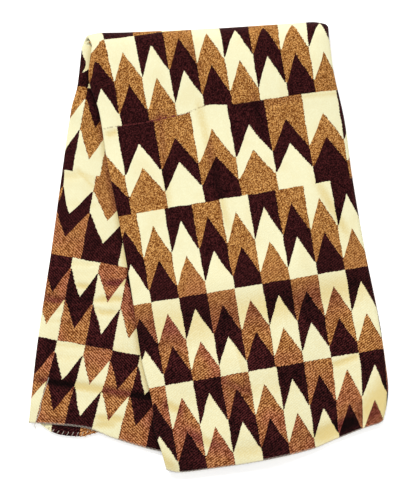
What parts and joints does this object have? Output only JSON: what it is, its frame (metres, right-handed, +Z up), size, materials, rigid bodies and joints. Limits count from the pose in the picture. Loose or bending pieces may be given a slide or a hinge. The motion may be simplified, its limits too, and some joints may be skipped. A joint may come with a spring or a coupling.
{
  "type": "folded kente cloth",
  "caption": "Folded kente cloth woven in bands of nested teeth, folded into a strip and once more across, lying flat with its two halves fanned apart.",
  "frame": {"origin": "on the surface it lies on, under the middle of its outline", "axes": "+Z up out of the surface, +Y from the hems towards the cross fold, +X to the right as seen from above"},
  "size_m": [0.4139, 0.5143, 0.0339],
  "materials": {
    "kente_weave": "matt cotton twill in cream, gold brown and near-black brown"
  },
  "bodies": {
    "root": {"kente_cloth": "kente_weave"}
  },
  "joints": []
}
